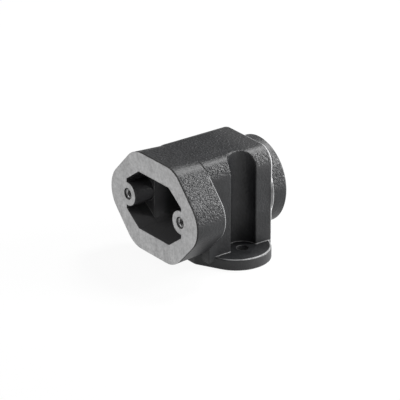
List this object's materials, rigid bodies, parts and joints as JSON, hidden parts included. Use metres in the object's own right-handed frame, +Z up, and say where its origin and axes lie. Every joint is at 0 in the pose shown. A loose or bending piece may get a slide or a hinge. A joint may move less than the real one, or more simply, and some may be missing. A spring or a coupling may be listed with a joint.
{
  "type": "connector socket housing",
  "caption": "Side-entry socket housing for a rectangular industrial connector: flanged base, octagonal socket face with tapped bosses, open screw channels and a threaded rear cable entry.",
  "frame": {"origin": "midway between the two mounting holes, in the plane the base rests on", "axes": "-Y out of the socket face, +Y out of the cable entry, +Z up, away from the mounting surface"},
  "size_m": [0.064, 0.0595, 0.0504],
  "materials": {
    "coated_casting": "black wrinkle powder coat over an aluminium casting, bare on the machined mating face"
  },
  "bodies": {
    "root": {"socket_housing": "coated_casting"}
  },
  "joints": []
}
